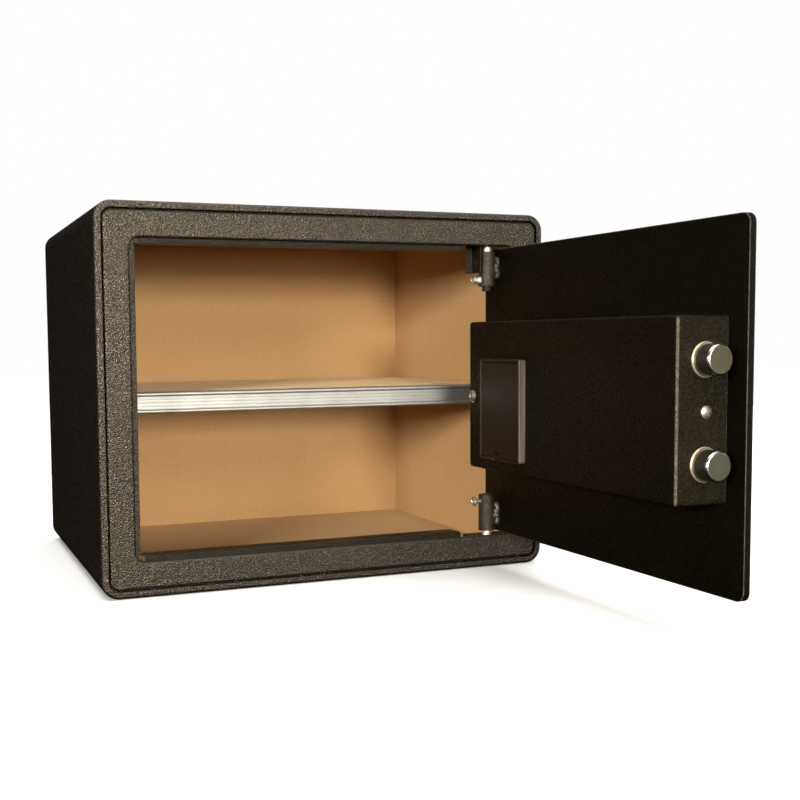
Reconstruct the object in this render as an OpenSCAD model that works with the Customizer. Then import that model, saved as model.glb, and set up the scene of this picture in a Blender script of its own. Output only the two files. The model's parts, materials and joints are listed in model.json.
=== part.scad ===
// In-room safe with an open door: folded steel body, carpet lining, one
// removable shelf, a hinged door with two live bolts, a lock box and a keypad.
// Millimetres. Origin: centre of the base. +Z up, -Y towards the user.

/* [Body] */
// Outside width of the body
body_w = 380; // [370:1:400]
// Outside height of the body
body_h = 300; // [296:1:320]
// Outside depth of the body
body_d = 300; // [280:1:360]
// Outside radius of the four long edges
corner_r = 13.5; // [12:0.5:16]
// Thickness of the folded body sheet
wall = 2; // [1.5:0.5:2.5]
// Width of the ring that the body sheet turns in at the front
ring_w = 5.4; // [5:0.1:6]
// Width of the groove between that ring and the frame plate
groove = 1; // [0.8:0.1:1.2]

/* [Front frame] */
// Clear width of the door opening
open_w = 327; // [324:1:330]
// Clear height of the door opening
open_h = 246; // [244:1:250]
// Corner radius of the opening
open_r = 8; // [6:0.5:10]
// Height of the opening's centre above the base
open_z = 150; // [149:0.5:152]
// Width of the stop lip that shows inside the opening
lip_w = 4.3; // [3.5:0.1:5]

/* [Door] */
// Angle that the door stands open
door_open = 91.3; // [80:0.1:100]
// Thickness of the door plate
door_t = 5; // [4:0.5:5]
// Gap between the door and its opening
door_gap = 1.5; // [1.2:0.1:2]
// Corner radius of the door plate
door_r = 6.5; // [5:0.5:8]
// Distance of the hinge axis from the hinge edge of the door
hinge_in = 18; // [17:0.5:20]
// Distance of the hinge axis behind the inner face of the door
hinge_back = 9.1; // [9:0.1:10]
// Outside diameter of a hinge barrel
barrel_d = 14; // [12:0.5:15]
// Diameter of a hinge pin
pin_d = 8; // [6:0.5:8]

/* [Lock box] */
// Length of the cover over the lock
box_l = 264.5; // [260:0.5:268]
// Height of the cover
box_h = 120; // [116:1:124]
// Depth of the cover off the door
box_n = 39.4; // [38:0.1:42]
// Height of the cover's centre above the base
box_z = 148.9; // [147:0.1:151]
// Distance of the cover from the hinge edge of the door
box_in = 41.8; // [40:0.1:44]
// Sheet thickness of the cover
box_t = 1.5; // [1:0.1:1.5]
// Height that the battery compartment stands off the cover
battery_rise = 5.8; // [5:0.1:6.5]

/* [Bolts] */
// Diameter of a locking bolt
bolt_d = 20; // [18:0.5:20]
// Distance between the two bolts
bolt_pitch = 66; // [64:0.5:68]
// Distance of the bolts behind the inner face of the door
bolt_n = 17.3; // [17:0.1:18]
// Length of bolt that shows when it is drawn back
bolt_show = 14; // [8:0.1:14]
// Travel of the bolts
bolt_travel = 11; // [8:0.5:11]

/* [Shelf] */
// Height of the shelf's top above the base
shelf_top = 154.2; // [120:0.1:180]
// Height of the shelf's front trim
trim_h = 17; // [16:0.1:20]
// Distance of the shelf's front edge from the front of the body
shelf_front = 53.5; // [53:0.5:80]

/* [Hidden] */
$fn = 64;

e = 0.01;
plate_y = 0.5;            // front of the frame plate
plate_t = 2;
lip_y = 5.5;              // front of the stop lip
liner = 6;                // side lining
liner_b = 3;              // back lining
liner_f = 4.5;            // floor and ceiling lining
in_x = body_w/2 - wall - liner;
in_y = body_d - wall - liner_b;
in_z0 = wall + liner_f;
in_z1 = body_h - wall - liner_f;
lin_y = 28;               // front of the lining

door_w = open_w - 2*door_gap;
door_h = open_h - 2*door_gap;
door_y0 = lip_y - 0.3 - door_t;   // outer face when shut
door_y1 = lip_y - 0.3;            // inner face when shut
hx = door_w/2 - hinge_in;
hy = door_y1 + hinge_back;
bx1 = door_w/2 - box_in;          // hinge end of the lock cover
bx0 = bx1 - box_l;                // free end of the lock cover
by1 = door_y1 + box_n;
bz0 = box_z - box_h/2;
bz1 = box_z + box_h/2;
bolt_y = door_y1 + bolt_n;
bolt_z = box_z - 0.7;
bolt_x0 = bx0 - bolt_show;        // tips, drawn back
bolt_l = 60;
knob_x = -55;
knob_z = bolt_z;
cam_r = bolt_travel/2/sin(45);
plate0 = door_y1 + 4.8;           // carriage plate
plate1 = plate0 + 3;
lock_x = -25;                     // override cylinder
lock_z = bolt_z + 46;
kx = 60;                          // keypad centre
kz = bolt_z;
sol_x = 5;                        // solenoid axis
sol_y = plate0 + 1.5;
tail_x = 12;
drive_h = 44;
sol_z = bolt_z + drive_h/2 + 0.4; // plunger tip
bat_x0 = 31.8; bat_x1 = 92.2;     // battery compartment rim
bat_z0 = 98.9; bat_z1 = 179.2;
rim_y = by1 + battery_rise;
lid_a = [bat_z1 - 3.4, rim_y - 1];// lid axis (z, y)
anchor_x = 100; anchor_y = 75;

// ---- helpers
module place() translate([0, -body_d/2, 0]) children();
module on_door() place() translate([hx, hy, 0]) rotate([0, 0, door_open]) translate([-hx, -hy, 0]) children();
// flat shape in X and Z, extruded along Y from y0 over t
module slab(y0, t) translate([0, y0, 0]) rotate([90, 0, 0]) translate([0, 0, -t]) linear_extrude(t) children();
module rrect(w, h, r) {
  square([w - 2*r, h], center = true);
  square([w, h - 2*r], center = true);
  for (x = [-1, 1], z = [-1, 1]) translate([x*(w/2 - r), z*(h/2 - r)]) circle(r);
}
module rblock(w, h, r, y0, t, cx = 0, cz = 0) translate([cx, 0, cz]) slab(y0, t) rrect(w, h, r);
// profile (outward, depth) carried round a rounded rectangle
module sweep_rr(w, h, r) {
  for (k = [0:3]) {
    L = (k % 2 == 0) ? w - 2*r : h - 2*r;
    D = (k % 2 == 0) ? h/2 : w/2;
    rotate([0, 90*k, 0]) translate([L/2, 0, D]) rotate([0, -90, 0]) linear_extrude(L) children();
  }
  for (k = [0:3]) {
    A = (k % 2 == 0) ? w/2 - r : h/2 - r;
    B = (k % 2 == 0) ? h/2 - r : w/2 - r;
    rotate([0, 90*k, 0]) translate([A, 0, B]) rotate([-90, 0, 0])
      rotate_extrude(angle = -90, $fn = 64) translate([r, 0]) children();
  }
}
// quarter disc of radius r that rounds an outer front edge
module quarter(r) intersection() { translate([-r, r]) circle(r, $fn = 48); translate([-r, 0]) square([r, r]); }
module ycyl(d, y0, t, x = 0, z = 0, fn = 64) translate([x, y0, z]) rotate([-90, 0, 0]) cylinder(d = d, h = t, $fn = fn);
module xcyl(d, x0, t, y = 0, z = 0) translate([x0, y, z]) rotate([0, 90, 0]) cylinder(d = d, h = t);
module box(a, b) translate(a) cube([b[0] - a[0], b[1] - a[1], b[2] - a[2]]);
module pan_head(d, h) rotate_extrude() intersection() {
  translate([0, h - d*0.9]) circle(d*0.9);
  square([d/2, h]);
}

// ---- body
module body_shell() color([0.13, 0.12, 0.11]) place() difference() {
  translate([0, 0, body_h/2]) sweep_rr(body_w, body_h, corner_r) {
    translate([-ring_w, 0]) square([ring_w - 2.5, wall]);
    quarter(2.5);
    translate([-wall, 2.5]) square([wall, body_d - 2.5]);
  }
  for (x = [-1, 1]) translate([x*anchor_x, anchor_y, -1]) cylinder(d = 10.5, h = wall + 2);
}

module back_panel() color([0.13, 0.12, 0.11]) place()
  rblock(body_w - 2*wall, body_h - 2*wall, corner_r - wall, body_d - wall, wall, 0, body_h/2);

module front_frame() color([0.15, 0.14, 0.13]) place() {
  g = ring_w + groove; fw = body_w - 2*g; fh = body_h - 2*g; fr = corner_r - g; b = 2.2; f = 1.8;
  translate([0, 0, body_h/2]) sweep_rr(fw, fh, fr) {
    translate([-5, plate_y]) square([5 - b, plate_t]);
    translate([0, plate_y]) difference() { quarter(b); translate([-b, b]) circle(b - plate_t); }
    translate([-plate_t, plate_y + b]) square([plate_t, 12]);
    // foot that meets the inside of the body sheet
    translate([0, plate_y + b + 10]) square([g - wall, 2]);
  }
  difference() {
    rblock(fw - 10, fh - 10, fr - 5, plate_y, plate_t, 0, body_h/2);
    rblock(open_w + 2*f, open_h + 2*f, open_r + f, plate_y - 1, plate_t + 2, 0, open_z);
  }
  // rounded edge of the opening
  translate([0, 0, open_z]) sweep_rr(open_w + 2*f, open_h + 2*f, open_r + f) {
    translate([-f, plate_y]) mirror([1, 0]) quarter(f);
    translate([-f, plate_y + f]) square([f, plate_t - f]);
  }
}

module door_stop() color([0.12, 0.11, 0.10]) place() {
  x0 = -open_w/2; z0 = open_z - open_h/2; z1 = open_z + open_h/2; back = plate_y + plate_t;
  for (s = [0, 1]) translate([0, 0, open_z]) mirror([0, 0, s]) {
    xe = s == 0 ? 114.5 : 117.5; zl = -open_h/2 + lip_w;
    difference() {
      slab(lip_y, 1.5) {
        translate([x0 - 6.5, zl - 11]) square([xe - x0 + 6.5, 8]);
        translate([x0 - 6.5, zl - 4]) square([xe - x0 + 3.5, 4]);
        translate([xe - 3, zl - 3]) circle(3);
      }
    }
    box([x0 - 6.5, back, zl - 11], [xe, lip_y, zl - 9.5]);
    box([x0 + lip_w, lip_y, zl - 1.5], [xe - 3, lip_y + 14, zl]);
  }
  box([x0 - 6.5, lip_y, z0], [x0 + lip_w, lip_y + 1.5, z1]);
  box([x0 - 6.5, back, z0], [x0 - 5, lip_y, z1]);
}

module lug(z) difference() {
  box([hx - 17, plate_y + plate_t, z], [hx + 22, hy + 12, z + 4]);
  translate([hx, hy, z - 1]) cylinder(d = pin_d + 0.1, h = 6);
}
module hinge_lugs() color([0.12, 0.11, 0.10]) place() {
  lug(open_z + open_h/2 + 2);
  lug(open_z - open_h/2 - 6);
}

module hinge_bracket() color([0.14, 0.13, 0.12]) place() {
  zt = open_z + open_h/2 + 2; zb = zt - 24;
  difference() {
    union() {
      box([hx - 9.9, hy - 6.5, zb], [hx - 8.6, hy + 9.6, zt]);
      box([hx - 15.8, hy + 8.3, zb], [hx - 8.6, hy + 9.6, zt]);
      box([hx - 9.9, hy + 8.3, zt - 9], [hx + 8, hy + 9.6, zt]);
    }
    translate([hx - 14, hy + 0.4, zb + 9]) rotate([0, 90, 0]) cylinder(d = 6.3, h = 8);
  }
}

// ---- lining
module flat_lining(z0, z1) intersection() {
  box([-in_x, lin_y, z0], [in_x, in_y, z1]);
  rblock(body_w - 2*wall, body_h - 2*wall, corner_r - wall, lin_y - 1, body_d, 0, body_h/2);
}
module carpet_floor() color([0.72, 0.53, 0.34]) place() difference() {
  flat_lining(wall, in_z0);
  for (x = [-1, 1]) translate([x*anchor_x, anchor_y, 0]) cylinder(d = 26, h = 20);
}
module carpet_ceiling() color([0.72, 0.53, 0.34]) place() flat_lining(in_z1, body_h - wall);
module carpet_back() color([0.72, 0.53, 0.34]) place() rblock(body_w - 2*wall, body_h - 2*wall, corner_r - wall, in_y, liner_b, 0, body_h/2);
module side_lining(s) place() mirror([s, 0, 0]) difference() {
  intersection() {
    box([in_x, lin_y, wall], [body_w/2 - wall, in_y, body_h - wall]);
    rblock(body_w - 2*wall, body_h - 2*wall, corner_r - wall, lin_y, body_d, 0, body_h/2);
  }
  for (y = [95, 245]) translate([in_x - 1, y, shelf_top - 9.5]) rotate([0, 90, 0]) cylinder(d = 6, h = 10);
}
module carpet_left() color([0.72, 0.53, 0.34]) side_lining(1);
module carpet_right() color([0.72, 0.53, 0.34]) side_lining(0);

module shelf_pins() color([0.75, 0.75, 0.73]) place() for (s = [0, 1]) mirror([s, 0, 0])
  for (y = [95, 245]) translate([in_x - 9, y, shelf_top - 9.5]) rotate([0, 90, 0]) cylinder(d = 6, h = 9 + liner);

// ---- shelf
sh_x = in_x - 1.2;
sh_b = 1.6;               // carpet thickness on the board
module pin_notches(z) for (s = [0, 1]) mirror([s, 0, 0]) for (y = [95, 245]) {
  box([in_x - 11, y - 3.4, shelf_top - trim_h - 1], [in_x + 1, y + 3.4, shelf_top - 9.5]);
  translate([in_x - 11, y, shelf_top - 9.5]) rotate([0, 90, 0]) cylinder(d = 6.8, h = 12);
}
module shelf_board() color([0.55, 0.42, 0.28]) place() difference() {
  box([-sh_x, shelf_front + 2.1, shelf_top - trim_h + 1], [sh_x, in_y - 1.5, shelf_top - sh_b]);
  pin_notches();
}
module shelf_carpet() color([0.72, 0.53, 0.34]) place()
  box([-sh_x, shelf_front + 12, shelf_top - sh_b], [sh_x, in_y - 1.5, shelf_top - 0.3]);
module shelf_trim() color([0.85, 0.85, 0.83]) place() {
  z1 = shelf_top; z0 = shelf_top - trim_h; f = shelf_front; r1 = 1.7; r0 = 1.5;
  translate([-sh_x, 0, 0]) rotate([90, 0, 90]) linear_extrude(2*sh_x) {
    // front web, a round bead along each edge, the raised face and its fine ribs
    translate([f + 1, z0 + 0.2]) square([1, trim_h - 0.4]);
    intersection() {
      union() {
        translate([f + 0.9, z1 - r1]) circle(r1, $fn = 40);
        translate([f + 0.7, z0 + r0]) circle(r0, $fn = 40);
      }
      translate([f - 2, z0 - 1]) square([3.9, trim_h + 2]);
    }
    translate([f + 0.1, z0 + 3.5]) square([1.2, trim_h - 2*r1 - 4.4]);
    for (k = [5.6, 8.6, 11.2]) translate([f - 0.2, z0 + k]) square([0.6, 0.7]);
    // upper and lower legs over the board
    translate([f + 1, z1 - sh_b]) square([11, sh_b]);
    translate([f + 1, z0]) square([13, 1]);
  }
}

// ---- door
module door_plate() color([0.10, 0.09, 0.085]) on_door() difference() {
  rblock(door_w, door_h, door_r, door_y0, door_t, 0, open_z);
  // rounded-off outer corner beside the hinge, which lets the door swing in
  translate([door_w/2, door_y0, open_z - door_h]) linear_extrude(2*door_h)
    polygon([[-2.6, -0.5], [0.5, -0.5], [0.5, 3.1], [0, 2.6], [-2.6, 0]]);
  ycyl(pin_d + 0.1, door_y0 - 1, door_t + 2, knob_x, knob_z);
  ycyl(20, door_y0 - 1, door_t + 2, kx, kz);
  ycyl(18, door_y0 - 1, door_t + 2, lock_x, lock_z);
}

bar_z = [[open_z + door_h/2 - 31.8, open_z + door_h/2 - 2.4], [open_z - door_h/2 + 0.8, open_z - door_h/2 + 31.8]];
scr_z = [bar_z[0][0] + 5.3, bar_z[1][1] - 5.6];
module hinge_barrels() color([0.16, 0.15, 0.14]) on_door() for (i = [0, 1]) difference() {
  translate([hx, hy, bar_z[i][0]]) cylinder(d = barrel_d, h = bar_z[i][1] - bar_z[i][0]);
  translate([hx, hy, bar_z[i][0] - 1]) cylinder(d = pin_d, h = 60);
  translate([hx, hy, scr_z[i]]) rotate([-90, 0, 0]) cylinder(d = 4, h = 20);
}
module hinge_pins() color([0.80, 0.79, 0.76]) on_door() {
  difference() {
    translate([hx, hy, bar_z[0][0] - 4]) cylinder(d = pin_d, h = 44.5);
    translate([hx, hy, scr_z[0]]) rotate([-90, 0, 0]) cylinder(d = 4, h = 20);
  }
  difference() {
    translate([hx, hy, open_z - open_h/2 - 7]) cylinder(d = pin_d, h = 37.5);
    translate([hx, hy, scr_z[1]]) rotate([-90, 0, 0]) cylinder(d = 4, h = 20);
  }
}
module hinge_screws() color([0.82, 0.81, 0.78]) on_door() for (i = [0, 1])
  translate([hx, hy, scr_z[i]]) rotate([-90, 0, 0]) {
    translate([0, 0, 2.5]) cylinder(d = 4, h = 9.6);
    // lock nut on the top screw
    if (i == 0) translate([0, 0, 7.2]) rotate([0, 0, 30]) cylinder(d = 8.4, h = 3.4, $fn = 6);
    translate([0, 0, 12]) difference() {
      pan_head(i == 0 ? 7 : 8, 2.6);
      for (a = [0, 90]) rotate([0, 0, a]) translate([-2.2, -0.5, 1.5]) cube([4.4, 1, 3]);
    }
  }
module hinge_welds() color([0.20, 0.19, 0.18]) on_door() for (i = [0, 1]) difference() {
  zc = (bar_z[i][0] + bar_z[i][1])/2; f = i == 0 ? 0 : 1;
  translate([hx, door_y1, zc]) mirror([0, 0, f]) {
    translate([-4.6, 1.6, 4]) cylinder(r = 3.0, h = 5.5);
    translate([-4.3, 1.8, -4]) cylinder(r = 3.6, h = 8);
    translate([-4.6, 1.5, -9]) cylinder(r = 3.2, h = 5);
  }
  translate([hx, hy, 0]) cylinder(d = barrel_d, h = 320);
  box([hx - 20, door_y1 - 12, 0], [hx + 20, door_y1, 320]);
}

// ---- lock cover
module lock_cover() color([0.095, 0.088, 0.082]) on_door() difference() {
  cx = (bx0 + bx1)/2; r = 3; b = 2.4;
  union() {
    translate([cx, by1, box_z]) mirror([0, 1, 0]) sweep_rr(box_l, box_h, r) {
      translate([-2.8, 0]) square([2.8 - b, box_t]);
      difference() { quarter(b); translate([-b, b]) circle(b - box_t); }
      translate([-box_t, b]) square([box_t, box_n - b]);
    }
    rblock(box_l - 5.4, box_h - 5.4, 0.3, by1 - box_t, box_t, cx, box_z);
  }
  for (s = [-1, 1]) xcyl(bolt_d + 2.5, bx0 - 1, 4, bolt_y, bolt_z + s*bolt_pitch/2);
  xcyl(4.2, bx0 - 1, 4, bolt_y, bolt_z);
  ycyl(4.2, by1 - 3, 5, bx1 - 7, bolt_z - 0.6);
  box([bat_x0 + 2, by1 - 3, bat_z0 + 2], [bat_x1 - 2, by1 + 1, bat_z1 - 2]);
}
module cover_screws() color([0.80, 0.79, 0.75]) on_door() {
  translate([bx1 - 7, by1, bolt_z - 0.6]) rotate([-90, 0, 0]) {
    difference() {
      union() { cylinder(d = 10.2, h = 0.8); translate([0, 0, 0.6]) pan_head(7.8, 2.4); }
      for (a = [0, 90]) rotate([0, 0, a]) translate([-2.5, -0.65, 1.5]) cube([5, 1.3, 3]);
    }
    translate([0, 0, -9]) cylinder(d = 3.4, h = 9);
  }
  translate([bx0, bolt_y, bolt_z]) rotate([0, -90, 0]) {
    difference() {
      pan_head(8.4, 2.8);
      for (a = [20, 110]) rotate([0, 0, a]) translate([-2.2, -0.5, 1.7]) cube([4.4, 1, 3]);
    }
    translate([0, 0, -6]) cylinder(d = 3.4, h = 6);
  }
}
module cover_tabs() color([0.70, 0.70, 0.68]) on_door() {
  difference() {
    box([bx1 - 13, door_y1, bolt_z - 7], [bx1 - 1.8, by1 - box_t, bolt_z + 6]);
    ycyl(3.4, by1 - 12, 14, bx1 - 7, bolt_z - 0.6);
  }
  difference() {
    union() {
      box([bx0 + box_t, door_y1, bolt_z - 9], [bx0 + box_t + 3, bolt_y + 8, bolt_z + 9]);
      box([bx0 + box_t, door_y1, bolt_z - 9], [bx0 + box_t + 16, door_y1 + 3, bolt_z + 9]);
    }
    xcyl(3.4, bx0, 10, bolt_y, bolt_z);
  }
}
module bolt_bushes() color([0.78, 0.72, 0.60]) on_door() for (s = [-1, 1]) difference() {
  union() {
    xcyl(bolt_d + 2.4, bx0 - 0.4, 5.75, bolt_y, bolt_z + s*bolt_pitch/2);
    xcyl(bolt_d + 1.3, bx0 - 1.3, 5, bolt_y, bolt_z + s*bolt_pitch/2);
    xcyl(bolt_d + 7, bx0 + box_t, 3, bolt_y, bolt_z + s*bolt_pitch/2);
  }
  xcyl(bolt_d + 0.15, bx0 - 5, 20, bolt_y, bolt_z + s*bolt_pitch/2);
}

// ---- bolt work (drawn back at rest)
module locking_bolts() color([0.62, 0.61, 0.58]) on_door() for (s = [-1, 1])
  translate([bolt_x0, bolt_y, bolt_z + s*bolt_pitch/2]) rotate([0, 90, 0]) rotate_extrude($fn = 96) {
    square([bolt_d/2 - 1.8, bolt_l]);
    translate([0, 1.8]) square([bolt_d/2, bolt_l - 1.8]);
    translate([bolt_d/2 - 1.8, 1.8]) circle(1.8, $fn = 40);
  }
module bolt_carriage() color([0.72, 0.72, 0.70]) on_door() {
  xe = bolt_x0 + bolt_l;
  difference() {
    union() {
      box([xe, plate0, bolt_z - bolt_pitch/2 - 11], [xe + 3, bolt_y + 11, bolt_z + bolt_pitch/2 + 11]);
      box([xe, plate0, bolt_z - drive_h/2], [tail_x, plate1, bolt_z + drive_h/2]);
    }
    // slots for the two guide studs, the knob's spindle and the cam's pin
    for (x = [knob_x - 29, knob_x + 30]) slot(x, 3.3, knob_z);
    slot(knob_x, 4.6, knob_z);
    box([knob_x + bolt_travel/2 - 3.1, plate0 - 1, knob_z], [knob_x + bolt_travel/2 + 3.1, plate1 + 1, knob_z + cam_r + 3]);
  }
}
module slot(x, r, z) {
  ycyl(2*r, plate0 - 1, 5, x, z);
  ycyl(2*r, plate0 - 1, 5, x + bolt_travel, z);
  box([x, plate0 - 1, z - r], [x + bolt_travel, plate1 + 1, z + r]);
}
module lock_base() color([0.70, 0.70, 0.68]) on_door() difference() {
  union() {
    box([knob_x - 36, door_y1, knob_z - 32], [knob_x + 66, door_y1 + 2, knob_z + 34]);
    for (x = [knob_x - 29, knob_x + 30]) {
      ycyl(6, door_y1 + 2, plate1 + 0.4 - door_y1 - 2, x, knob_z);
      ycyl(10, plate1 + 0.4, 1.6, x, knob_z);
    }
  }
  ycyl(9, door_y1 - 1, 5, knob_x, knob_z);
}
module solenoid() color([0.60, 0.58, 0.50]) on_door() difference() {
  box([sol_x - 11, door_y1 + 2, sol_z + 9], [sol_x + 11, sol_y + 8, sol_z + 34]);
  translate([sol_x, sol_y, sol_z]) cylinder(d = 6.2, h = 60);
}
module solenoid_plunger() color([0.78, 0.78, 0.76]) on_door() translate([sol_x, sol_y, sol_z]) {
  cylinder(d = 6, h = 30);
  translate([0, 0, 2.4]) cylinder(d = 8, h = 1.2);
}
module plunger_spring() color([0.80, 0.80, 0.78]) on_door() for (i = [0:4])
  translate([sol_x, sol_y, sol_z + 4.05 + i*1.1]) rotate_extrude($fn = 40) translate([3.5, 0]) circle(0.35, $fn = 20);

// ---- electronics
module control_board() color([0.10, 0.30, 0.16]) on_door() {
  y = door_y1 + 4;
  box([26, y, 98], [100, y + 1.6, 182]);
  for (x = [30, 96], z = [102, 178]) ycyl(5, door_y1, 4, x, z);
  box([40, y + 1.6, 112], [52, y + 4, 124]);
  box([62, y + 1.6, 140], [76, y + 3.6, 154]);
  box([30, y + 1.6, 150], [38, y + 8, 172]);
  for (z = [108, 120, 132]) ycyl(8, y + 1.6, 11, 88, z);
}
module battery_holder() color([0.07, 0.068, 0.065]) on_door() difference() {
  cx = (bat_x0 + bat_x1)/2; cz = (bat_z0 + bat_z1)/2; w = bat_x1 - bat_x0; h = bat_z1 - bat_z0;
  union() {
    translate([cx, rim_y, cz]) mirror([0, 1, 0]) sweep_rr(w, h, 2.5) {
      translate([-1.9, 0.9]) square([1.9, battery_rise - 0.9]);
      translate([-1.9, 0]) square([1.0, 1]);
      quarter(0.9);
    }
    rblock(w - 3.2, h - 3.2, 1.5, by1, battery_rise - 2.4, cx, cz);
    rblock(w - 4.6, h - 4.6, 1.5, by1 - 20, 20, cx, cz);
  }
  // four cells lie across, one above another
  box([bat_x0 + 3.6, by1 - 18.4, bat_z0 + 11.5], [bat_x1 - 3.6, rim_y + 1, bat_z1 - 4]);
  box([cx - 2.4, rim_y - 3.4, bat_z0 - 1], [cx + 9, rim_y + 1, bat_z0 + 6]);
}
cell_d = 14.2; cell_l = 44.5;
cont_x = (bat_x1 - bat_x0)/2 - 3.9;
function cell_z(i) = bat_z0 + 11.5 + 7.4 + i*15.1;
module batteries() color([0.25, 0.25, 0.27]) on_door() for (i = [0:3])
  translate([(bat_x0 + bat_x1)/2 + (i % 2 == 0 ? 1 : -1)*0.6, by1 - 18.4 + cell_d/2 + 0.3, cell_z(i)]) rotate([0, i % 2 == 0 ? 90 : -90, 0]) rotate_extrude() {
    translate([0, -cell_l/2]) square([cell_d/2, cell_l - 1.2]);
    translate([0, -cell_l/2]) square([2.7, cell_l]);
  }
module battery_contacts() color([0.82, 0.80, 0.74]) on_door() for (i = [0:3], s = [-1, 1])
  translate([(bat_x0 + bat_x1)/2 + s*cont_x, by1 - 18.4 + cell_d/2 + 0.3, cell_z(i)]) rotate([0, 90*s, 0]) {
    n = cont_x - 0.2 - ((s > 0) == (i % 2 == 0) ? 22.95 : 21.75);
    translate([0, 0, -0.2]) cylinder(d = 10, h = 0.4);
    translate([0, 0, -0.2 - n]) cylinder(d1 = 4, d2 = 8, h = n);
  }
module battery_cover() color([0.075, 0.072, 0.068]) on_door() {
  cx = (bat_x0 + bat_x1)/2; x0 = bat_x0 + 2.5; x1 = bat_x1 - 2.5;
  xcyl(2, x0, x1 - x0, lid_a[1], lid_a[0]);
  difference() {
    box([x0, rim_y - 2, bat_z0 + 2.5], [x1, rim_y, lid_a[0]]);
    // finger notch beside the catch
    box([cx - 1, rim_y - 1.6, bat_z0 + 4.6], [cx + 7.6, rim_y + 1, bat_z0 + 7.4]);
  }
  // spring catch
  box([cx - 1.6, rim_y - 1.4, bat_z0 + 0.4], [cx + 8.2, rim_y - 0.2, bat_z0 + 4]);
}

// ---- keypad
kw = 78; kh = 118; kd = 12;
key_w = 15; key_h = 12.4;
function key_x(i) = kx + (i % 3 - 1)*20.5;
function key_z(i) = kz + 20 - floor(i/3)*18.5;
ky = door_y0 - kd;
module keypad_bezel() color([0.06, 0.06, 0.062]) on_door() difference() {
  union() {
    translate([kx, ky, kz]) sweep_rr(kw, kh, 9) {
      translate([-6, 0]) square([3.5, kd]);
      translate([-3, 2.5]) square([3, kd - 2.5]);
      quarter(2.5);
    }
    rblock(kw - 10, kh - 10, 4, ky, kd, kx, kz);
  }
  box([kx - kw/2 + 5, ky + 3, kz - kh/2 + 8], [kx + kw/2 - 5, door_y0 + 1, kz + kh/2 - 8]);
  for (i = [0:11]) rblock(key_w + 0.8, key_h + 0.8, 2.9, ky - 1, 6, key_x(i), key_z(i));
  rblock(50, 12, 2, ky - 1, 6, kx, kz + 43);
}
module key_cap(i) color([0.30, 0.30, 0.31]) on_door() intersection() {
  union() {
    rblock(key_w, key_h, 2.5, ky - 2.2, 6.4, key_x(i), key_z(i));
    rblock(key_w + 2.6, key_h + 2.4, 2.5, ky + 3.2, 1, key_x(i), key_z(i));
  }
  union() {
    translate([key_x(i), ky - 2.2 + 40, key_z(i)]) sphere(40, $fn = 96);
    box([key_x(i) - 20, ky + 1, key_z(i) - 20], [key_x(i) + 20, ky + 10, key_z(i) + 20]);
  }
}
module key_1() key_cap(0);
module key_2() key_cap(1);
module key_3() key_cap(2);
module key_4() key_cap(3);
module key_5() key_cap(4);
module key_6() key_cap(5);
module key_7() key_cap(6);
module key_8() key_cap(7);
module key_9() key_cap(8);
module key_clear() key_cap(9);
module key_0() key_cap(10);
module key_enter() key_cap(11);
module keypad_mat() color([0.35, 0.35, 0.36]) on_door() {
  box([kx - 32, ky + 7, kz - 46], [kx + 32, ky + 9, kz + 34]);
  for (i = [0:11]) ycyl(8, ky + 5.6, 2, key_x(i), key_z(i), 40);
}
module status_lens() color([0.25, 0.03, 0.03]) on_door() {
  rblock(49.6, 11.6, 1.8, ky + 0.4, 2.6, kx, kz + 43);
  rblock(53, 15, 1.8, ky + 3, 1, kx, kz + 43);
}

// ---- knob
module knob() color([0.68, 0.67, 0.65]) on_door() translate([knob_x, door_y0 - 0.6, knob_z]) rotate([90, 0, 0]) difference() {
  union() {
    rotate_extrude($fn = 96) {
      square([22, 4]);
      polygon([[0, 4], [22, 4], [19, 8], [0, 8]]);
    }
    translate([-20, -5.5, 4]) cube([40, 11, 17]);
    for (s = [-1, 1]) translate([s*20, 0, 0]) intersection() { cylinder(d = 11, h = 21); translate([-30, -30, 4]) cube([60, 60, 30]); }
  }
  translate([0, 0, -1]) cylinder(d = pin_d, h = 14);
}
module knob_spindle() color([0.75, 0.75, 0.73]) on_door() ycyl(pin_d, door_y0 - 12.6, 12.6 - door_y0 + plate1 + 4.6, knob_x, knob_z);
module drive_cam() color([0.72, 0.70, 0.64]) on_door() difference() {
  union() {
    ycyl(27, plate1 + 1, 3, knob_x, knob_z);
    ycyl(5, plate0 - 0.8, plate1 - plate0 + 2, knob_x + cam_r*sin(45), knob_z + cam_r*cos(45));
  }
  ycyl(pin_d, plate1 - 5, 20, knob_x, knob_z);
}

// ---- override lock
module cylinder_housing() color([0.72, 0.71, 0.68]) on_door() difference() {
  union() {
    ycyl(30, door_y0 - 2.8, 2.8, lock_x, lock_z);
    ycyl(17.8, door_y0 - 1, 20 + door_t, lock_x, lock_z);
  }
  ycyl(12.1, door_y0 - 5, 60, lock_x, lock_z);
  ycyl(4, door_y0 - 5, 6, lock_x, lock_z + 12);
}
module key_cylinder() color([0.78, 0.74, 0.60]) on_door() difference() {
  union() {
    ycyl(12, door_y0 - 2.8, 24 + door_t, lock_x, lock_z);
    box([lock_x - 4, door_y0 + 19.8 + door_t, lock_z - 14], [lock_x + 4, door_y0 + 22 + door_t, lock_z + 4]);
  }
  box([lock_x - 1.1, door_y0 - 5, lock_z - 4], [lock_x + 1.1, door_y0 + 14, lock_z + 4]);
}
module override_cover() color([0.10, 0.10, 0.10]) on_door() difference() {
  union() {
    ycyl(25, door_y0 - 5.2, 2, lock_x, lock_z - 1);
    slab(door_y0 - 5.2, 2) translate([lock_x, lock_z]) polygon([[-9.5, 7], [9.5, 7], [4.6, 15], [-4.6, 15]]);
    ycyl(10, door_y0 - 5.2, 2, lock_x, lock_z + 12);
  }
  ycyl(4.1, door_y0 - 8, 8, lock_x, lock_z + 12);
}
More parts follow.
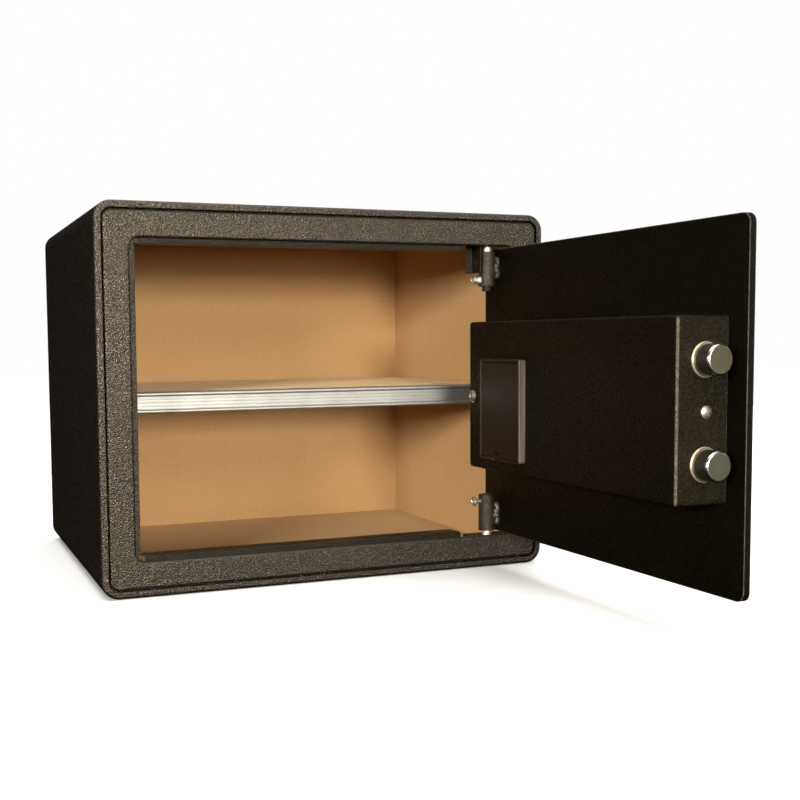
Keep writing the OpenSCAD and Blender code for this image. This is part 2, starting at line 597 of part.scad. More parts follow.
module cover_rivet() color([0.80, 0.79, 0.76]) on_door() {
  ycyl(4, door_y0 - 5.6, 5.6, lock_x, lock_z + 12);
  ycyl(7, door_y0 - 6.7, 1.2, lock_x, lock_z + 12);
}

body_shell();
back_panel();
front_frame();
door_stop();
hinge_lugs();
hinge_bracket();
carpet_floor();
carpet_back();
carpet_left();
carpet_right();
carpet_ceiling();
shelf_pins();
shelf_board();
shelf_carpet();
shelf_trim();
door_plate();
hinge_barrels();
hinge_pins();
hinge_screws();
hinge_welds();
lock_cover();
cover_screws();
cover_tabs();
bolt_bushes();
locking_bolts();
bolt_carriage();
lock_base();
solenoid();
solenoid_plunger();
plunger_spring();
control_board();
battery_holder();
batteries();
battery_contacts();
battery_cover();
keypad_bezel();
keypad_mat();
status_lens();
key_1();
key_2();
key_3();
key_4();
key_5();
key_6();
key_7();
key_8();
key_9();
key_clear();
key_0();
key_enter();
knob();
knob_spindle();
drive_cam();
cylinder_housing();
key_cylinder();
override_cover();
cover_rivet();
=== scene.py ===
import json
import math

import bmesh
import bpy
from mathutils import Matrix, Vector, noise


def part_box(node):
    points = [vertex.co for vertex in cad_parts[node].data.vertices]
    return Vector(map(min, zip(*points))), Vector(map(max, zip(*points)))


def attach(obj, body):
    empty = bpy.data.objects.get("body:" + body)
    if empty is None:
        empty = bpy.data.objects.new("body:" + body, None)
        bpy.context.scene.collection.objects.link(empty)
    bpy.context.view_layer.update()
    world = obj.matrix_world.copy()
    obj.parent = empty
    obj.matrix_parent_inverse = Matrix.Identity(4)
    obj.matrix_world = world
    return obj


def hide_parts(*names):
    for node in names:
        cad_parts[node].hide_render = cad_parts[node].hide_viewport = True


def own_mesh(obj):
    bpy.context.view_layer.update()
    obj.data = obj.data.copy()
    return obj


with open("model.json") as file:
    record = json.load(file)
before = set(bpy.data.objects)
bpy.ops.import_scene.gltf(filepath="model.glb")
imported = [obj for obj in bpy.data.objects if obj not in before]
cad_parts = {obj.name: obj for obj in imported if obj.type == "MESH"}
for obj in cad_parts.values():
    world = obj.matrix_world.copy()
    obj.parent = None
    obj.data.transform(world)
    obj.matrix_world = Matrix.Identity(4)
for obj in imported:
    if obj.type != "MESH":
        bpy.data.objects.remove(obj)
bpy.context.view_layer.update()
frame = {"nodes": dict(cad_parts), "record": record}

N = frame["nodes"]

# The door's own frame: millimetres as if it were shut, front plane at y = 0.
HX, HY, OPEN = 144.0, 14.3, math.radians(91.3)
DOOR = (
    Matrix.Translation((HX / 1000, (HY - 150) / 1000, 0))
    @ Matrix.Rotation(OPEN, 4, "Z")
    @ Matrix.Translation((-HX / 1000, -HY / 1000, 0))
)


def on_door(x, y, z):
    return DOOR @ Vector((x / 1000, y / 1000, z / 1000))


# ------------------------------------------------------------------ materials
class Mat:
    def __init__(self, name):
        self.m = bpy.data.materials.new(name)
        self.m.use_nodes = True
        self.nt = self.m.node_tree
        self.nt.nodes.clear()
        out = self.nt.nodes.new("ShaderNodeOutputMaterial")
        self.b = self.nt.nodes.new("ShaderNodeBsdfPrincipled")
        self.nt.links.new(self.b.outputs[0], out.inputs[0])
        tex = self.nt.nodes.new("ShaderNodeTexCoord")
        self.co, self.nrm = tex.outputs["Object"], tex.outputs["Normal"]

    def put(self, socket, value):
        if hasattr(value, "is_output"):
            self.nt.links.new(value, socket)
        elif value is not None:
            socket.default_value = value

    def set(self, name, value):
        if name == "Base Color" and not hasattr(value, "is_output"):
            value = (*value, 1.0)
        self.put(self.b.inputs[name], value)
        return self

    def mapped(self, scale=(1, 1, 1), loc=(0, 0, 0), rot=(0, 0, 0), vec=None):
        n = self.nt.nodes.new("ShaderNodeMapping")
        self.put(n.inputs["Vector"], vec or self.co)
        n.inputs["Scale"].default_value = scale
        n.inputs["Location"].default_value = loc
        n.inputs["Rotation"].default_value = rot
        return n.outputs[0]

    def noise(self, scale, detail=3.0, rough=0.55, vec=None, dist=0.0):
        n = self.nt.nodes.new("ShaderNodeTexNoise")
        self.put(n.inputs["Vector"], vec or self.co)
        n.inputs["Scale"].default_value = scale
        n.inputs["Detail"].default_value = detail
        n.inputs["Roughness"].default_value = rough
        n.inputs["Distortion"].default_value = dist
        return n.outputs[0]

    def cells(self, scale, feature="SMOOTH_F1", vec=None, smooth=0.6):
        n = self.nt.nodes.new("ShaderNodeTexVoronoi")
        n.feature = feature
        self.put(n.inputs["Vector"], vec or self.co)
        n.inputs["Scale"].default_value = scale
        if feature == "SMOOTH_F1":
            n.inputs["Smoothness"].default_value = smooth
        return n.outputs["Distance"]

    def ramp(self, fac, stops, mode="LINEAR"):
        n = self.nt.nodes.new("ShaderNodeValToRGB")
        n.color_ramp.interpolation = mode
        e = n.color_ramp.elements
        while len(e) < len(stops):
            e.new(0.5)
        for k, (pos, col) in enumerate(stops):
            e[k].position = pos
            e[k].color = (*col, 1.0) if not isinstance(col, (int, float)) else (col, col, col, 1.0)
        self.put(n.inputs[0], fac)
        return n.outputs[0]

    def mix(self, fac, a, b, blend="MIX"):
        n = self.nt.nodes.new("ShaderNodeMix")
        n.data_type = "RGBA"
        n.blend_type = blend
        self.put(n.inputs[0], fac)
        for k, v in ((6, a), (7, b)):
            self.put(n.inputs[k], v if hasattr(v, "is_output") else (*v, 1.0))
        return n.outputs[2]

    def math(self, op, a, b=None, c=None, clamp=False):
        n = self.nt.nodes.new("ShaderNodeMath")
        n.operation = op
        n.use_clamp = clamp
        for k, v in enumerate((a, b, c)):
            if v is not None:
                self.put(n.inputs[k], v)
        return n.outputs[0]

    def span(self, fac, lo, hi):
        n = self.nt.nodes.new("ShaderNodeMapRange")
        self.put(n.inputs["Value"], fac)
        n.inputs["To Min"].default_value = lo
        n.inputs["To Max"].default_value = hi
        return n.outputs[0]

    def band(self, value, lo, hi, a=0.0, b=1.0):
        n = self.nt.nodes.new("ShaderNodeMapRange")
        n.interpolation_type = "SMOOTHSTEP"
        self.put(n.inputs["Value"], value)
        for k, v in (("From Min", lo), ("From Max", hi), ("To Min", a), ("To Max", b)):
            n.inputs[k].default_value = v
        return n.outputs[0]

    def xyz(self, vec=None):
        n = self.nt.nodes.new("ShaderNodeSeparateXYZ")
        self.put(n.inputs[0], vec or self.co)
        return n.outputs

    def edge(self, radius, samples=4):
        """(softened normal, 0 on a flat to 1 on an edge)"""
        bev = self.nt.nodes.new("ShaderNodeBevel")
        bev.samples = samples
        bev.inputs["Radius"].default_value = radius
        geo = self.nt.nodes.new("ShaderNodeNewGeometry")
        dot = self.nt.nodes.new("ShaderNodeVectorMath")
        dot.operation = "DOT_PRODUCT"
        self.nt.links.new(bev.outputs[0], dot.inputs[0])
        self.nt.links.new(geo.outputs["Normal"], dot.inputs[1])
        return bev.outputs[0], self.band(dot.outputs["Value"], 0.995, 0.80)

    def bump(self, height, strength, distance, normal=None):
        n = self.nt.nodes.new("ShaderNodeBump")
        n.inputs["Strength"].default_value = strength
        n.inputs["Distance"].default_value = distance
        self.put(n.inputs["Height"], height)
        if normal is not None:
            self.put(n.inputs["Normal"], normal)
        return n.outputs[0]


def powder(name, dark, light, tint, spec=0.5, worn_and_lit=(0.30, 0.255, 0.20), wear_and_highlight=0.0, rough=(0.40, 0.62), pebble=1.0, edge_r=0.0009, outer=None, front=None, pits=0.0, fold_highlight=0.0, roof=0.0, side=None):
    """Textured powder coat: pebbles of one to two millimetres with finer grain between."""
    t = Mat(name)
    worms = t.noise(680, 2.0, 0.60)
    pebbles = t.math("SUBTRACT", 1.0, t.cells(880, smooth=0.25))
    fine = t.noise(2100, 2.0, 0.6)
    cloud = t.noise(17, 4.0, 0.6)
    grain = t.math("MULTIPLY_ADD", worms, 0.50, t.math("MULTIPLY", pebbles, 0.70))
    tone = t.math("MULTIPLY_ADD", cloud, 0.20, t.math("MULTIPLY", grain, 0.85), clamp=True)
    col = t.ramp(tone, [(0.53, dark), (0.62, [0.65 * a + 0.35 * b for a, b in zip(dark, light)]), (0.71, light)])
    if outer:
        # painted light: the room side of the door is painted lighter than the side that faces in, standing in for
        # light it does not get
        nx = t.xyz(t.nrm)[0]
        col = t.mix(t.band(nx, 0.3, 0.7), col, t.mix(1.0, col, outer, "MULTIPLY"))
    if front:
        # faces at the free end catch more light
        ny = t.xyz(t.nrm)[1]
        col = t.mix(t.band(ny, -0.5, -0.9), col, t.mix(1.0, col, front, "MULTIPLY"))
    if side:
        # the upright strip stands in full light, the level ones do not
        col = t.mix(t.band(t.xyz()[0], side + 0.0008, side), col, t.mix(1.0, col, (12.0, 12.5, 15.0), "MULTIPLY"))
    # painted light: upward faces are painted 2.6 times lighter
    if roof:
        nz = t.xyz(t.nrm)[2]
        col = t.mix(t.band(nz, 0.5, 0.9), col, t.mix(1.0, col, (2.6, 2.6, 2.6), "MULTIPLY"))
    nrm, edge = t.edge(edge_r)
    # edges take the pale edge colour: partly rubbed wear, partly a painted highlight where rounded edges catch the
    # light
    if wear_and_highlight:
        scuff = t.ramp(t.noise(140, 6.0, 0.75), [(0.44, 0.0), (0.60, 1.0)])
        if fold_highlight:
            # painted highlight: the long fold at the bolt end takes the pale edge colour along its whole round
            nx, ny, _ = t.xyz(t.nrm)
            edge = t.math("MAXIMUM", edge, t.math("MULTIPLY", t.band(t.math("MULTIPLY", nx, ny), 0.24, 0.47), t.math("MULTIPLY", t.span(grain, 0.1, 1.1), fold_highlight)))
        mask = t.math("MULTIPLY", t.math("MULTIPLY", edge, t.span(scuff, 0.55, 1.0)), wear_and_highlight)
        col = t.mix(mask, col, worn_and_lit)
    t.set("Base Color", col)
    gloss = t.span(t.ramp(t.math("MULTIPLY_ADD", grain, 0.8, t.math("MULTIPLY", cloud, 0.2)), [(0.42, 1.0), (0.75, 0.0)]), *rough)
    if pits:
        # dull hollows between the grains
        gloss = t.math("MULTIPLY_ADD", t.band(grain, 0.57, 0.47), pits, gloss, clamp=True)
    if roof:
        # the top is duller than the sides
        gloss = t.math("MULTIPLY_ADD", t.band(t.xyz(t.nrm)[2], 0.5, 0.9), roof, gloss, clamp=True)
    t.set("Roughness", gloss)
    t.set("Specular IOR Level", spec)
    t.b.inputs["Specular Tint"].default_value = (*tint, 1.0)
    n1 = t.bump(worms, 1.0, 0.00048 * pebble, nrm)
    n2 = t.bump(pebbles, 1.0, 0.00030 * pebble, n1)
    t.set("Normal", t.bump(fine, 1.0, 0.00012 * pebble, n2))
    return t.m


def felt(name, base, deep, pale, fuzz=1.0, sheen=0.22):
    """Needle-felt lining: fibres, pilling and soft patches."""
    t = Mat(name)
    patch = t.noise(9, 3.0, 0.6)
    pill = t.noise(420, 4.0, 0.65)
    fibre_a = t.noise(600, 3.0, 0.6, t.mapped((3.4, 1.0, 0.5)), 1.2)
    fibre_b = t.noise(560, 3.0, 0.6, t.mapped((0.5, 1.0, 3.2), rot=(0.0, 0.3, 0.0)), 1.0)
    fibre = t.math("MULTIPLY_ADD", fibre_a, 0.5, t.math("MULTIPLY", fibre_b, 0.5))
    wob = t.noise(45, 3.0, 0.6)
    ribs = None
    for axis, step in zip(t.xyz(), (0.0038, 0.0038, 0.0031)):
        line = t.math("SINE", t.math("MULTIPLY_ADD", axis, 2 * math.pi / step, t.math("MULTIPLY", wob, 9.0)))
        ribs = line if ribs is None else t.math("ADD", ribs, line)
    tone = t.math("MULTIPLY_ADD", fibre, 0.55, t.math("MULTIPLY_ADD", pill, 0.3, t.math("MULTIPLY", patch, 0.15)))
    tone = t.math("MULTIPLY_ADD", ribs, 0.016, tone)
    t.set("Base Color", t.ramp(tone, [(0.33, deep), (0.5, base), (0.68, pale)]))
    t.set("Roughness", t.span(fibre, 0.82, 1.0))
    t.set("Specular IOR Level", 0.18)
    t.set("Sheen Weight", sheen)
    t.set("Sheen Roughness", 0.5)
    t.b.inputs["Sheen Tint"].default_value = (1.0, 0.74, 0.44, 1.0)
    t.set("Normal", t.bump(ribs, 0.12 * fuzz, 0.0002, t.bump(pill, 0.35 * fuzz, 0.0006, t.bump(fibre, 0.5 * fuzz, 0.0004))))
    return t.m


def metal(name, base, tint, rough, brush=None, pit=0.15, edge_r=0.0004, line=0.25):
    """Bare or plated metal with fine working marks, smudges and small pits."""
    t = Mat(name)
    smudge = t.noise(60, 5.0, 0.65)
    lines = t.noise(700, 3.0, 0.6, t.mapped(brush)) if brush else t.noise(900, 3.0, 0.6)
    pits = t.cells(900, "F1")
    t.set("Base Color", t.mix(t.ramp(smudge, [(0.35, 0.0), (0.7, 1.0)]), base, tint))
    t.set("Metallic", 1.0)
    t.set("Roughness", t.span(t.math("MULTIPLY_ADD", lines, 0.6, t.math("MULTIPLY", smudge, 0.4)), *rough))
    nrm, _ = t.edge(edge_r)
    t.set("Normal", t.bump(lines, line, 0.00012, t.bump(pits, pit, 0.0001, nrm)))
    return t.m


def plastic(name, base, pale, rough, grain=900, depth=0.25, coat=0.0, edge_r=0.0005, spec=0.5, front=None, tint=(1.0, 1.0, 1.0)):
    t = Mat(name)
    t.b.inputs["Specular Tint"].default_value = (*tint, 1.0)
    g = t.noise(grain, 3.0, 0.6)
    wipe = t.noise(26, 4.0, 0.6)
    col = t.mix(t.ramp(wipe, [(0.4, 0.0), (0.75, 1.0)]), base, pale)
    if front:
        # painted highlight: faces toward the free end are painted paler, in streaks
        streak = t.ramp(t.noise(520, 2.0, 0.5, t.mapped((1.0, 1.0, 0.03))), [(0.38, 0.0), (0.62, 1.0)])
        col = t.mix(t.band(t.xyz(t.nrm)[1], -0.5, -0.9), col, t.mix(streak, front, [c * 0.5 for c in front]))
    t.set("Base Color", col)
    t.set("Roughness", t.span(t.math("MULTIPLY_ADD", g, 0.5, t.math("MULTIPLY", wipe, 0.5)), *rough))
    t.set("Coat Weight", coat)
    t.set("Specular IOR Level", spec)
    nrm, _ = t.edge(edge_r)
    t.set("Normal", t.bump(g, depth, 0.00012, nrm))
    return t.m


COAT = (1.0, 0.85, 0.68)
INNER = (1.0, 0.82, 0.52)
body_paint = powder("body_powder_coat", (0.0014, 0.0012, 0.0008), (0.0080, 0.0066, 0.0048), COAT, spec=0.64, rough=(0.22, 0.33), pits=0.28, roof=0.34)
door_paint = powder("door_powder_coat", (0.0010, 0.0008, 0.0005), (0.0050, 0.0038, 0.0022), INNER, spec=0.085, rough=(0.28, 0.44), wear_and_highlight=0.7, edge_r=0.0012, pits=0.2, outer=(5.2, 5.5, 7.2))
# painted light: the back panel takes a copy of the body coat painted several times lighter, so it reads under the
# fill lamps
back_paint = powder("back_powder_coat", (0.0080, 0.0071, 0.0060), (0.066, 0.059, 0.050), COAT, spec=0.5, rough=(0.34, 0.50), pits=0.3)
cover_paint = powder("cover_powder_coat", (0.0010, 0.0008, 0.0005), (0.0050, 0.0038, 0.0022), INNER, spec=0.10, rough=(0.28, 0.44), wear_and_highlight=1.0, edge_r=0.0010, pits=0.2, fold_highlight=0.9, front=(3.2, 3.5, 3.8), worn_and_lit=(0.19, 0.16, 0.125))
stop_paint = powder("stop_coat", (0.0012, 0.0010, 0.0006), (0.0060, 0.0048, 0.0032), COAT, spec=0.26, rough=(0.30, 0.46), side=-0.1567)
lining = felt("carpet_lining", (0.50, 0.300, 0.132), (0.43, 0.248, 0.101), (0.57, 0.354, 0.167))
shelf_felt = felt("shelf_lining", (0.47, 0.312, 0.148), (0.41, 0.260, 0.114), (0.53, 0.362, 0.187), sheen=0.30)
trim_alu = metal("trim_aluminium", (0.445, 0.438, 0.415), (0.385, 0.378, 0.36), (0.50, 0.60), brush=(0.006, 1.0, 1.0), pit=0.02, line=0.07)
zinc = metal("zinc_plate", (0.82, 0.80, 0.74), (0.68, 0.65, 0.58), (0.34, 0.52))
zinc_dull = metal("zinc_dull", (0.46, 0.43, 0.38), (0.34, 0.315, 0.275), (0.36, 0.54))
barrel_paint = powder("barrel_coat", (0.0050, 0.0041, 0.0030), (0.032, 0.026, 0.020), COAT, spec=0.42, rough=(0.32, 0.50))
bracket_paint = powder("bracket_coat", (0.0022, 0.0018, 0.0012), (0.012, 0.0098, 0.0070), COAT, spec=0.24, rough=(0.30, 0.46))
weld_mat = powder("weld_coat", (0.0060, 0.0048, 0.0036), (0.046, 0.036, 0.028), COAT, spec=0.8, rough=(0.22, 0.42), pebble=0.6)
# painted shade: a darker copy of the weld coat, used for the top weld under the top of the frame
weld_dark = powder("weld_coat_dark", (0.0036, 0.0029, 0.0021), (0.020, 0.016, 0.012), COAT, spec=0.42, rough=(0.26, 0.46), pebble=0.6)
black_plastic = plastic("black_plastic", (0.0050, 0.0042, 0.0034), (0.0070, 0.0054, 0.0038), (0.30, 0.46), spec=0.18, tint=(1.0, 0.84, 0.60))
rim_plastic = plastic("rim_plastic", (0.0070, 0.0058, 0.0048), (0.0100, 0.0080, 0.0064), (0.32, 0.46), spec=0.38, front=(0.094, 0.074, 0.063), tint=(1.0, 0.88, 0.72))
key_rubber = plastic("key_silicone", (0.055, 0.055, 0.058), (0.070, 0.070, 0.072), (0.55, 0.72), grain=1400)
legend_ink = plastic("legend_ink", (0.78, 0.78, 0.76), (0.68, 0.68, 0.66), (0.5, 0.65), grain=2000, depth=0.1)
lens_red = plastic("lens_red", (0.055, 0.004, 0.004), (0.070, 0.006, 0.005), (0.08, 0.16), grain=300, depth=0.05, coat=0.6)
board_green = plastic("board_green", (0.020, 0.080, 0.035), (0.030, 0.105, 0.048), (0.25, 0.4), grain=500)
cell_sleeve = plastic("cell_sleeve", (0.03, 0.03, 0.035), (0.05, 0.05, 0.055), (0.2, 0.35), grain=400)
coil_tape = plastic("coil_tape", (0.30, 0.22, 0.07), (0.36, 0.27, 0.10), (0.35, 0.5), grain=600)


def chipboard():
    t = Mat("chipboard")
    chips = t.cells(260, "F1")
    grain = t.noise(500, 4.0, 0.6, t.mapped((0.2, 1.0, 1.0)))
    t.set("Base Color", t.ramp(t.math("MULTIPLY_ADD", chips, 0.5, t.math("MULTIPLY", grain, 0.5)), [(0.2, (0.26, 0.17, 0.09)), (0.8, (0.46, 0.33, 0.20))]))
    t.set("Roughness", t.span(grain, 0.7, 0.9))
    t.set("Normal", t.bump(chips, 0.4, 0.0003))
    return t.m


def bolt_steel():
    """Turned bright steel: dull faced ends with faint rings, drawn lines along the shanks."""
    t = Mat("bolt_steel")
    x, y, z = t.xyz()
    dz = t.math("SUBTRACT", t.math("ABSOLUTE", t.math("SUBTRACT", z, 0.1482)), 0.033)
    dx = t.math("SUBTRACT", x, 0.1427)
    r = t.math("SQRT", t.math("ADD", t.math("MULTIPLY", dx, dx), t.math("MULTIPLY", dz, dz)))
    end = t.math("MULTIPLY", t.band(t.xyz(t.nrm)[1], -0.92, -0.985), t.band(r, 0.0091, 0.0084))
    rings = t.math("SINE", t.math("MULTIPLY_ADD", r, 7000.0, t.math("MULTIPLY", t.noise(40, 3.0, 0.6), 3.0)))
    smudge = t.noise(120, 5.0, 0.65)
    scratch = t.noise(500, 4.0, 0.7, t.mapped((1.0, 0.04, 1.0)))
    soft = t.ramp(smudge, [(0.35, 0.0), (0.72, 1.0)])
    shank = t.mix(soft, (0.46, 0.45, 0.42), (0.38, 0.37, 0.34))
    faced = t.mix(soft, (0.140, 0.129, 0.080), (0.104, 0.097, 0.066))
    # the lower end is the greyer of the two
    faced = t.mix(t.band(z, 0.152, 0.144), faced, t.mix(soft, (0.150, 0.142, 0.108), (0.104, 0.100, 0.078)))
    t.set("Base Color", t.mix(end, shank, t.mix(t.span(rings, 0.0, 0.22), faced, (0.07, 0.066, 0.05))))
    t.set("Metallic", 1.0)
    even = t.span(t.math("MULTIPLY_ADD", smudge, 0.55, t.math("MULTIPLY", scratch, 0.45)), 0.20, 0.30)
    t.set("Roughness", t.math("MULTIPLY_ADD", end, 0.30, even))
    t.set("Normal", t.bump(scratch, 0.05, 0.00005))
    return t.m


def bush_metal():
    """Turned bush: a dark line of painted shade runs round between its two steps."""
    t = Mat("bush_metal")
    x, y, z = t.xyz()
    dz = t.math("SUBTRACT", t.math("ABSOLUTE", t.math("SUBTRACT", z, 0.1482)), 0.033)
    dx = t.math("SUBTRACT", x, 0.1427)
    r = t.math("SQRT", t.math("ADD", t.math("MULTIPLY", dx, dx), t.math("MULTIPLY", dz, dz)))
    # painted shade in the step between the two rings
    line = t.math("MULTIPLY", t.band(r, 0.01025, 0.01040), t.band(r, 0.01085, 0.01070))
    smudge = t.noise(120, 5.0, 0.65)
    turned = t.noise(900, 3.0, 0.6, t.mapped((1.0, 3.0, 1.0)))
    bright = t.mix(t.ramp(smudge, [(0.35, 0.0), (0.7, 1.0)]), (0.74, 0.65, 0.49), (0.58, 0.50, 0.37))
    t.set("Base Color", t.mix(t.math("MULTIPLY", line, 0.85), bright, (0.050, 0.042, 0.032)))
    t.set("Metallic", 1.0)
    t.set("Roughness", t.span(t.math("MULTIPLY_ADD", turned, 0.6, t.math("MULTIPLY", smudge, 0.4)), 0.40, 0.58))
    t.set("Normal", t.bump(turned, 0.2, 0.0001, t.edge(0.0003)[0]))
    return t.m


def pin_steel():
    """Drawn steel pin; the stub under the top barrel was painted with the door."""
    t = Mat("pin_steel")
    z = t.xyz()[2]
    paint = t.math("MULTIPLY", t.band(z, 0.2402, 0.2396), t.band(z, 0.10, 0.15))
    drawn = t.noise(600, 3.0, 0.6, t.mapped((1.0, 1.0, 0.05)))
    grain = t.noise(900, 3.0, 0.6)
    steel = t.mix(drawn, (0.62, 0.60, 0.54), (0.84, 0.82, 0.75))
    t.set("Base Color", t.mix(paint, steel, t.mix(grain, (0.006, 0.005, 0.004), (0.020, 0.017, 0.013))))
    t.set("Metallic", t.math("SUBTRACT", 1.0, paint))
    t.set("Roughness", t.span(drawn, 0.46, 0.62))
    t.set("Specular IOR Level", 0.12)
    t.set("Normal", t.bump(grain, 0.3, 0.00012, t.edge(0.0004)[0]))
    return t.m


bolt_mat = bolt_steel()
bush_mat = bush_metal()
board_mat = chipboard()

LOOK = {
    "body_paint": body_paint, "door_paint": door_paint, "carpet": lining, "board": board_mat,
    "trim": trim_alu, "bolt_steel": bolt_mat, "zinc": zinc, "weld": weld_mat, "bush": bush_mat,
    "plastic": black_plastic, "keys": key_rubber, "lens": lens_red, "board_green": board_green,
    "cells": cell_sleeve, "coil": coil_tape, "spring": zinc,
}
BY_NODE = {"lock_cover": cover_paint, "back_panel": back_paint, "door_stop": stop_paint, "battery_holder": rim_plastic, "cover_screws": zinc_dull, "shelf_carpet": shelf_felt, "hinge_pins": pin_steel(), "hinge_barrels": barrel_paint, "hinge_bracket": bracket_paint}
for sp in frame["record"]["subparts"]:
    look = BY_NODE.get(sp["node"], LOOK[sp["material_slot"]])
    data = N[sp["node"]].data
    data.materials.clear()
    data.materials.append(look)


# ------------------------------------------------------------------ pieces
def add(name, data, body, material):
    o = bpy.data.objects.new(name, data)
    bpy.context.scene.collection.objects.link(o)
    data.materials.clear()
    data.materials.append(material)
    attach(o, body)
    return o


def lumps(name, balls, voxel=0.0005, amp=0.00035):
    """One lumpy closed skin over overlapping balls (centre, radius), in metres."""
    bm = bmesh.new()
    for c, r in balls:
        bmesh.ops.create_icosphere(bm, subdivisions=3, radius=r, matrix=Matrix.Translation(c))
    me = bpy.data.meshes.new(name + "_raw")
    bm.to_mesh(me)
    bm.free()
    o = bpy.data.objects.new(name + "_raw", me)
    bpy.context.scene.collection.objects.link(o)
    m = o.modifiers.new("skin", "REMESH")
    m.mode = "VOXEL"
    m.voxel_size = voxel
    s = o.modifiers.new("soften", "SMOOTH")
    s.iterations = 6
    deps = bpy.context.evaluated_depsgraph_get()
    out = bpy.data.meshes.new_from_object(o.evaluated_get(deps))
    bpy.data.objects.remove(o)
    for v in out.vertices:
        v.co += v.normal * amp * noise.noise(v.co * 420.0)
    for p in out.polygons:
        p.use_smooth = True
    out.name = name
    return out


# weld lumps that hold each hinge barrel to the door
for tag, zc, f in (("top", 254.4, 1), ("bottom", 44.8, -1)):
    balls = [
        (on_door(HX - 5.1, 7.4, zc + f * 8.2), 0.0028),
        (on_door(HX - 5.5, 6.8, zc + f * 5.6), 0.0025),
        (on_door(HX - 4.2, 7.8, zc + f * 2.4), 0.0038),
        (on_door(HX - 4.3, 7.4, zc - f * 1.0), 0.0037),
        (on_door(HX - 5.4, 6.6, zc - f * 3.6), 0.0026),
        (on_door(HX - 4.6, 7.0, zc - f * 6.4), 0.0030),
    ]
    # the top weld takes the darker, shaded copy of the weld coat
    o = add("weld_lump_" + tag, lumps("weld_lump_" + tag, balls), "door", weld_dark if f > 0 else weld_mat)
    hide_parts("hinge_welds")


# short bead where the frame plate is joined at its lower left corner
seam = [
    (Vector((-0.1723 + 0.0061 * k / 16, -0.14930, 0.0119 + 0.0077 * k / 16)), 0.00062 + 0.00005 * math.sin(k * 1.7))
    for k in range(17)
]
add("corner_seam", lumps("corner_seam", seam, voxel=0.0002, amp=0.00008), "body", body_paint)


# wound spring under the solenoid
def coil_mesh(name, centre, z0, z1, radius, wire, turns, steps=40, sides=12):
    verts, faces = [], []
    count = int(turns * steps)
    for i in range(count + 1):
        a = 2 * math.pi * i / steps
        z = z0 + wire + (z1 - z0 - 2 * wire) * i / count
        out = Vector((math.cos(a), math.sin(a), 0))
        for j in range(sides):
            b = 2 * math.pi * j / sides
            verts.append(Vector((centre[0], centre[1], z)) + out * (radius + wire * math.cos(b)) + Vector((0, 0, wire * math.sin(b))))
    for i in range(count):
        for j in range(sides):
            k = (j + 1) % sides
            faces.append((i * sides + j, (i + 1) * sides + j, (i + 1) * sides + k, i * sides + k))
    faces.append(tuple(range(sides)))
    faces.append(tuple(count * sides + j for j in reversed(range(sides))))
    me = bpy.data.meshes.new(name)
    me.from_pydata(verts, [], faces)
    for p in me.polygons:
        p.use_smooth = len(p.vertices) == 4
    bm = bmesh.new()
    bm.from_mesh(me)
    bmesh.ops.recalc_face_normals(bm, faces=bm.faces)
    bm.to_mesh(me)
    bm.free()
    return me


s_lo, s_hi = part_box("plunger_spring")
mid = ((s_lo[0] + s_hi[0]) / 2, (s_lo[1] + s_hi[1]) / 2)
coil = add("spring_coil", coil_mesh("spring_coil", mid, s_lo[2], s_hi[2], 0.0035, 0.00035, 5), "door", zinc)
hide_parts("plunger_spring")
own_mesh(coil)


def legend(text, name, body, x, z, y, size):
    cu = bpy.data.curves.new(name, "FONT")
    cu.body = text
    cu.size = size / 1000
    cu.align_x = "CENTER"
    cu.align_y = "CENTER"
    cu.extrude = 0.00012
    cu.resolution_u = 6
    o = bpy.data.objects.new(name + "_raw", cu)
    bpy.context.scene.collection.objects.link(o)
    deps = bpy.context.evaluated_depsgraph_get()
    me = bpy.data.meshes.new_from_object(o.evaluated_get(deps))
    bpy.data.objects.remove(o)
    face = Matrix(((1, 0, 0, 0), (0, 0, -1, 0), (0, 1, 0, 0), (0, 0, 0, 1)))
    me.transform(DOOR @ Matrix.Translation((x / 1000, y / 1000, z / 1000)) @ face)
    me.name = name
    return add(name, me, body, legend_ink)


KEYS = ["1", "2", "3", "4", "5", "6", "7", "8", "9", "clear", "0", "enter"]
for i, k in enumerate(KEYS):
    kx = 60 + (i % 3 - 1) * 20.5
    kz = 148.2 + 20 - (i // 3) * 18.5
    legend({"clear": "C", "enter": "#"}.get(k, k), "legend_" + k, "button_" + k, kx, kz, -13.96, 7.6)


# ------------------------------------------------------------------ stage
def plain(name, colour, rough):
    t = Mat(name)
    g = t.noise(6, 4.0, 0.6)
    t.set("Base Color", t.mix(g, colour, [c * 0.985 for c in colour]))
    t.set("Roughness", t.span(t.noise(300, 3.0, 0.6), rough - 0.05, rough + 0.05))
    t.set("Specular IOR Level", 0.2)
    return t.m


me = bpy.data.meshes.new("floor")
S = 6.0
me.from_pydata([(-S, -S, 0), (S, -S, 0), (S, S, 0), (-S, S, 0)], [], [(0, 1, 2, 3)])
floor = bpy.data.objects.new("floor", me)
bpy.context.scene.collection.objects.link(floor)
floor.location.z = -0.0004
me.materials.append(plain("pale_floor", (0.86, 0.86, 0.85), 0.75))


def area(name, azimuth, elevation, dist, size, power, colour, target=(0.0, -0.1, 0.14)):
    """Soft box; azimuth 0 is straight in front of the opening, positive to the right."""
    a, e = math.radians(azimuth), math.radians(elevation)
    t = Vector(target)
    d = Vector((math.sin(a) * math.cos(e), -math.cos(a) * math.cos(e), math.sin(e)))
    li = bpy.data.lights.new(name, "AREA")
    li.shape = "RECTANGLE"
    li.size, li.size_y = size
    li.energy = power
    li.color = colour
    o = bpy.data.objects.new(name, li)
    bpy.context.scene.collection.objects.link(o)
    o.location = t + d * dist
    o.rotation_euler = (-d).to_track_quat("-Z", "Y").to_euler()
    o.visible_camera = False
    return o


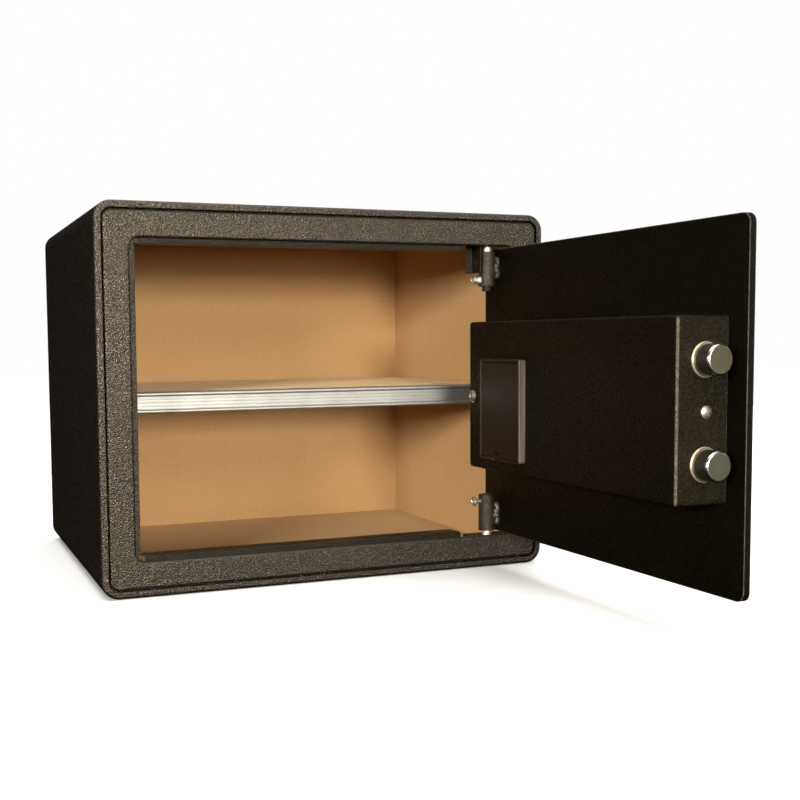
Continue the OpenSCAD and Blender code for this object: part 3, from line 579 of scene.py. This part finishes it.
WARM = (1.0, 0.96, 0.87)
area("softbox_front", -5.5, 6.2, 3.03, (0.42, 0.36), 52.0, WARM)
area("softbox_wide", -2.0, 3.6, 3.0, (1.30, 0.60), 33.0, WARM)
area("softbox_left", -48.5, 9.0, 2.2, (0.62, 0.31), 54.0, WARM)
area("softbox_right", 30.0, 8.0, 2.5, (0.5, 0.4), 3.0, WARM)
area("softbox_high", 8, 21, 2.2, (0.8, 0.5), 14.0, WARM)
NEUTRAL = (1.0, 0.98, 0.95)
area("panel_right", 90, 7, 2.3, (2.4, 1.3), 22.0, NEUTRAL)
area("panel_right_back", 145, 5, 2.4, (1.6, 1.1), 42.0, NEUTRAL)
area("panel_left", -100, 10, 2.4, (1.2, 1.3), 4.0, NEUTRAL)
area("fill_top", 0, 84, 2.2, (2.2, 2.2), 14.0, NEUTRAL)

sun = bpy.data.lights.new("overhead", "SUN")
sun.energy = 3.9
sun.angle = math.radians(75)
sun_ob = bpy.data.objects.new("overhead", sun)
bpy.context.scene.collection.objects.link(sun_ob)

# white sweep round the stage: it is seen, but the lamps alone light the object
world = bpy.data.worlds.new("studio")
bpy.context.scene.world = world
world.use_nodes = True
bg = world.node_tree.nodes["Background"]
bg.inputs["Color"].default_value = (1, 1, 1, 1)
bg.inputs["Strength"].default_value = 1.0
world.cycles_visibility.diffuse = False
world.cycles_visibility.glossy = False
floor.visible_glossy = False
floor.visible_diffuse = False

# ------------------------------------------------------------------ camera
F, CX, CY = 1129.43, 352.65, 424.71
YAW, PITCH, ROLL = 0.37736, -0.07555, -0.00797
fwd = Vector((math.sin(YAW) * math.cos(PITCH), math.cos(YAW) * math.cos(PITCH), math.sin(PITCH)))
right = Vector((math.cos(YAW), -math.sin(YAW), 0))
up = right.cross(fwd)
r2 = right * math.cos(ROLL) + up * math.sin(ROLL)
u2 = up * math.cos(ROLL) - right * math.sin(ROLL)
cam_data = bpy.data.cameras.new("camera")
cam = bpy.data.objects.new("camera", cam_data)
bpy.context.scene.collection.objects.link(cam)
rot = Matrix((r2, u2, -fwd)).transposed()
cam.matrix_world = Matrix.Translation((-0.3226, -0.99847, 0.19556)) @ rot.to_4x4()
cam_data.sensor_width = 36.0
cam_data.sensor_fit = "HORIZONTAL"
cam_data.lens = F / 800 * 36
cam_data.shift_x = (400 - CX) / 800
cam_data.shift_y = (CY - 400) / 800
cam_data.clip_start = 0.02
cam_data.dof.use_dof = False
bpy.context.scene.camera = cam

bpy.context.scene.view_settings.view_transform = "Standard"
bpy.context.scene.view_settings.look = "None"
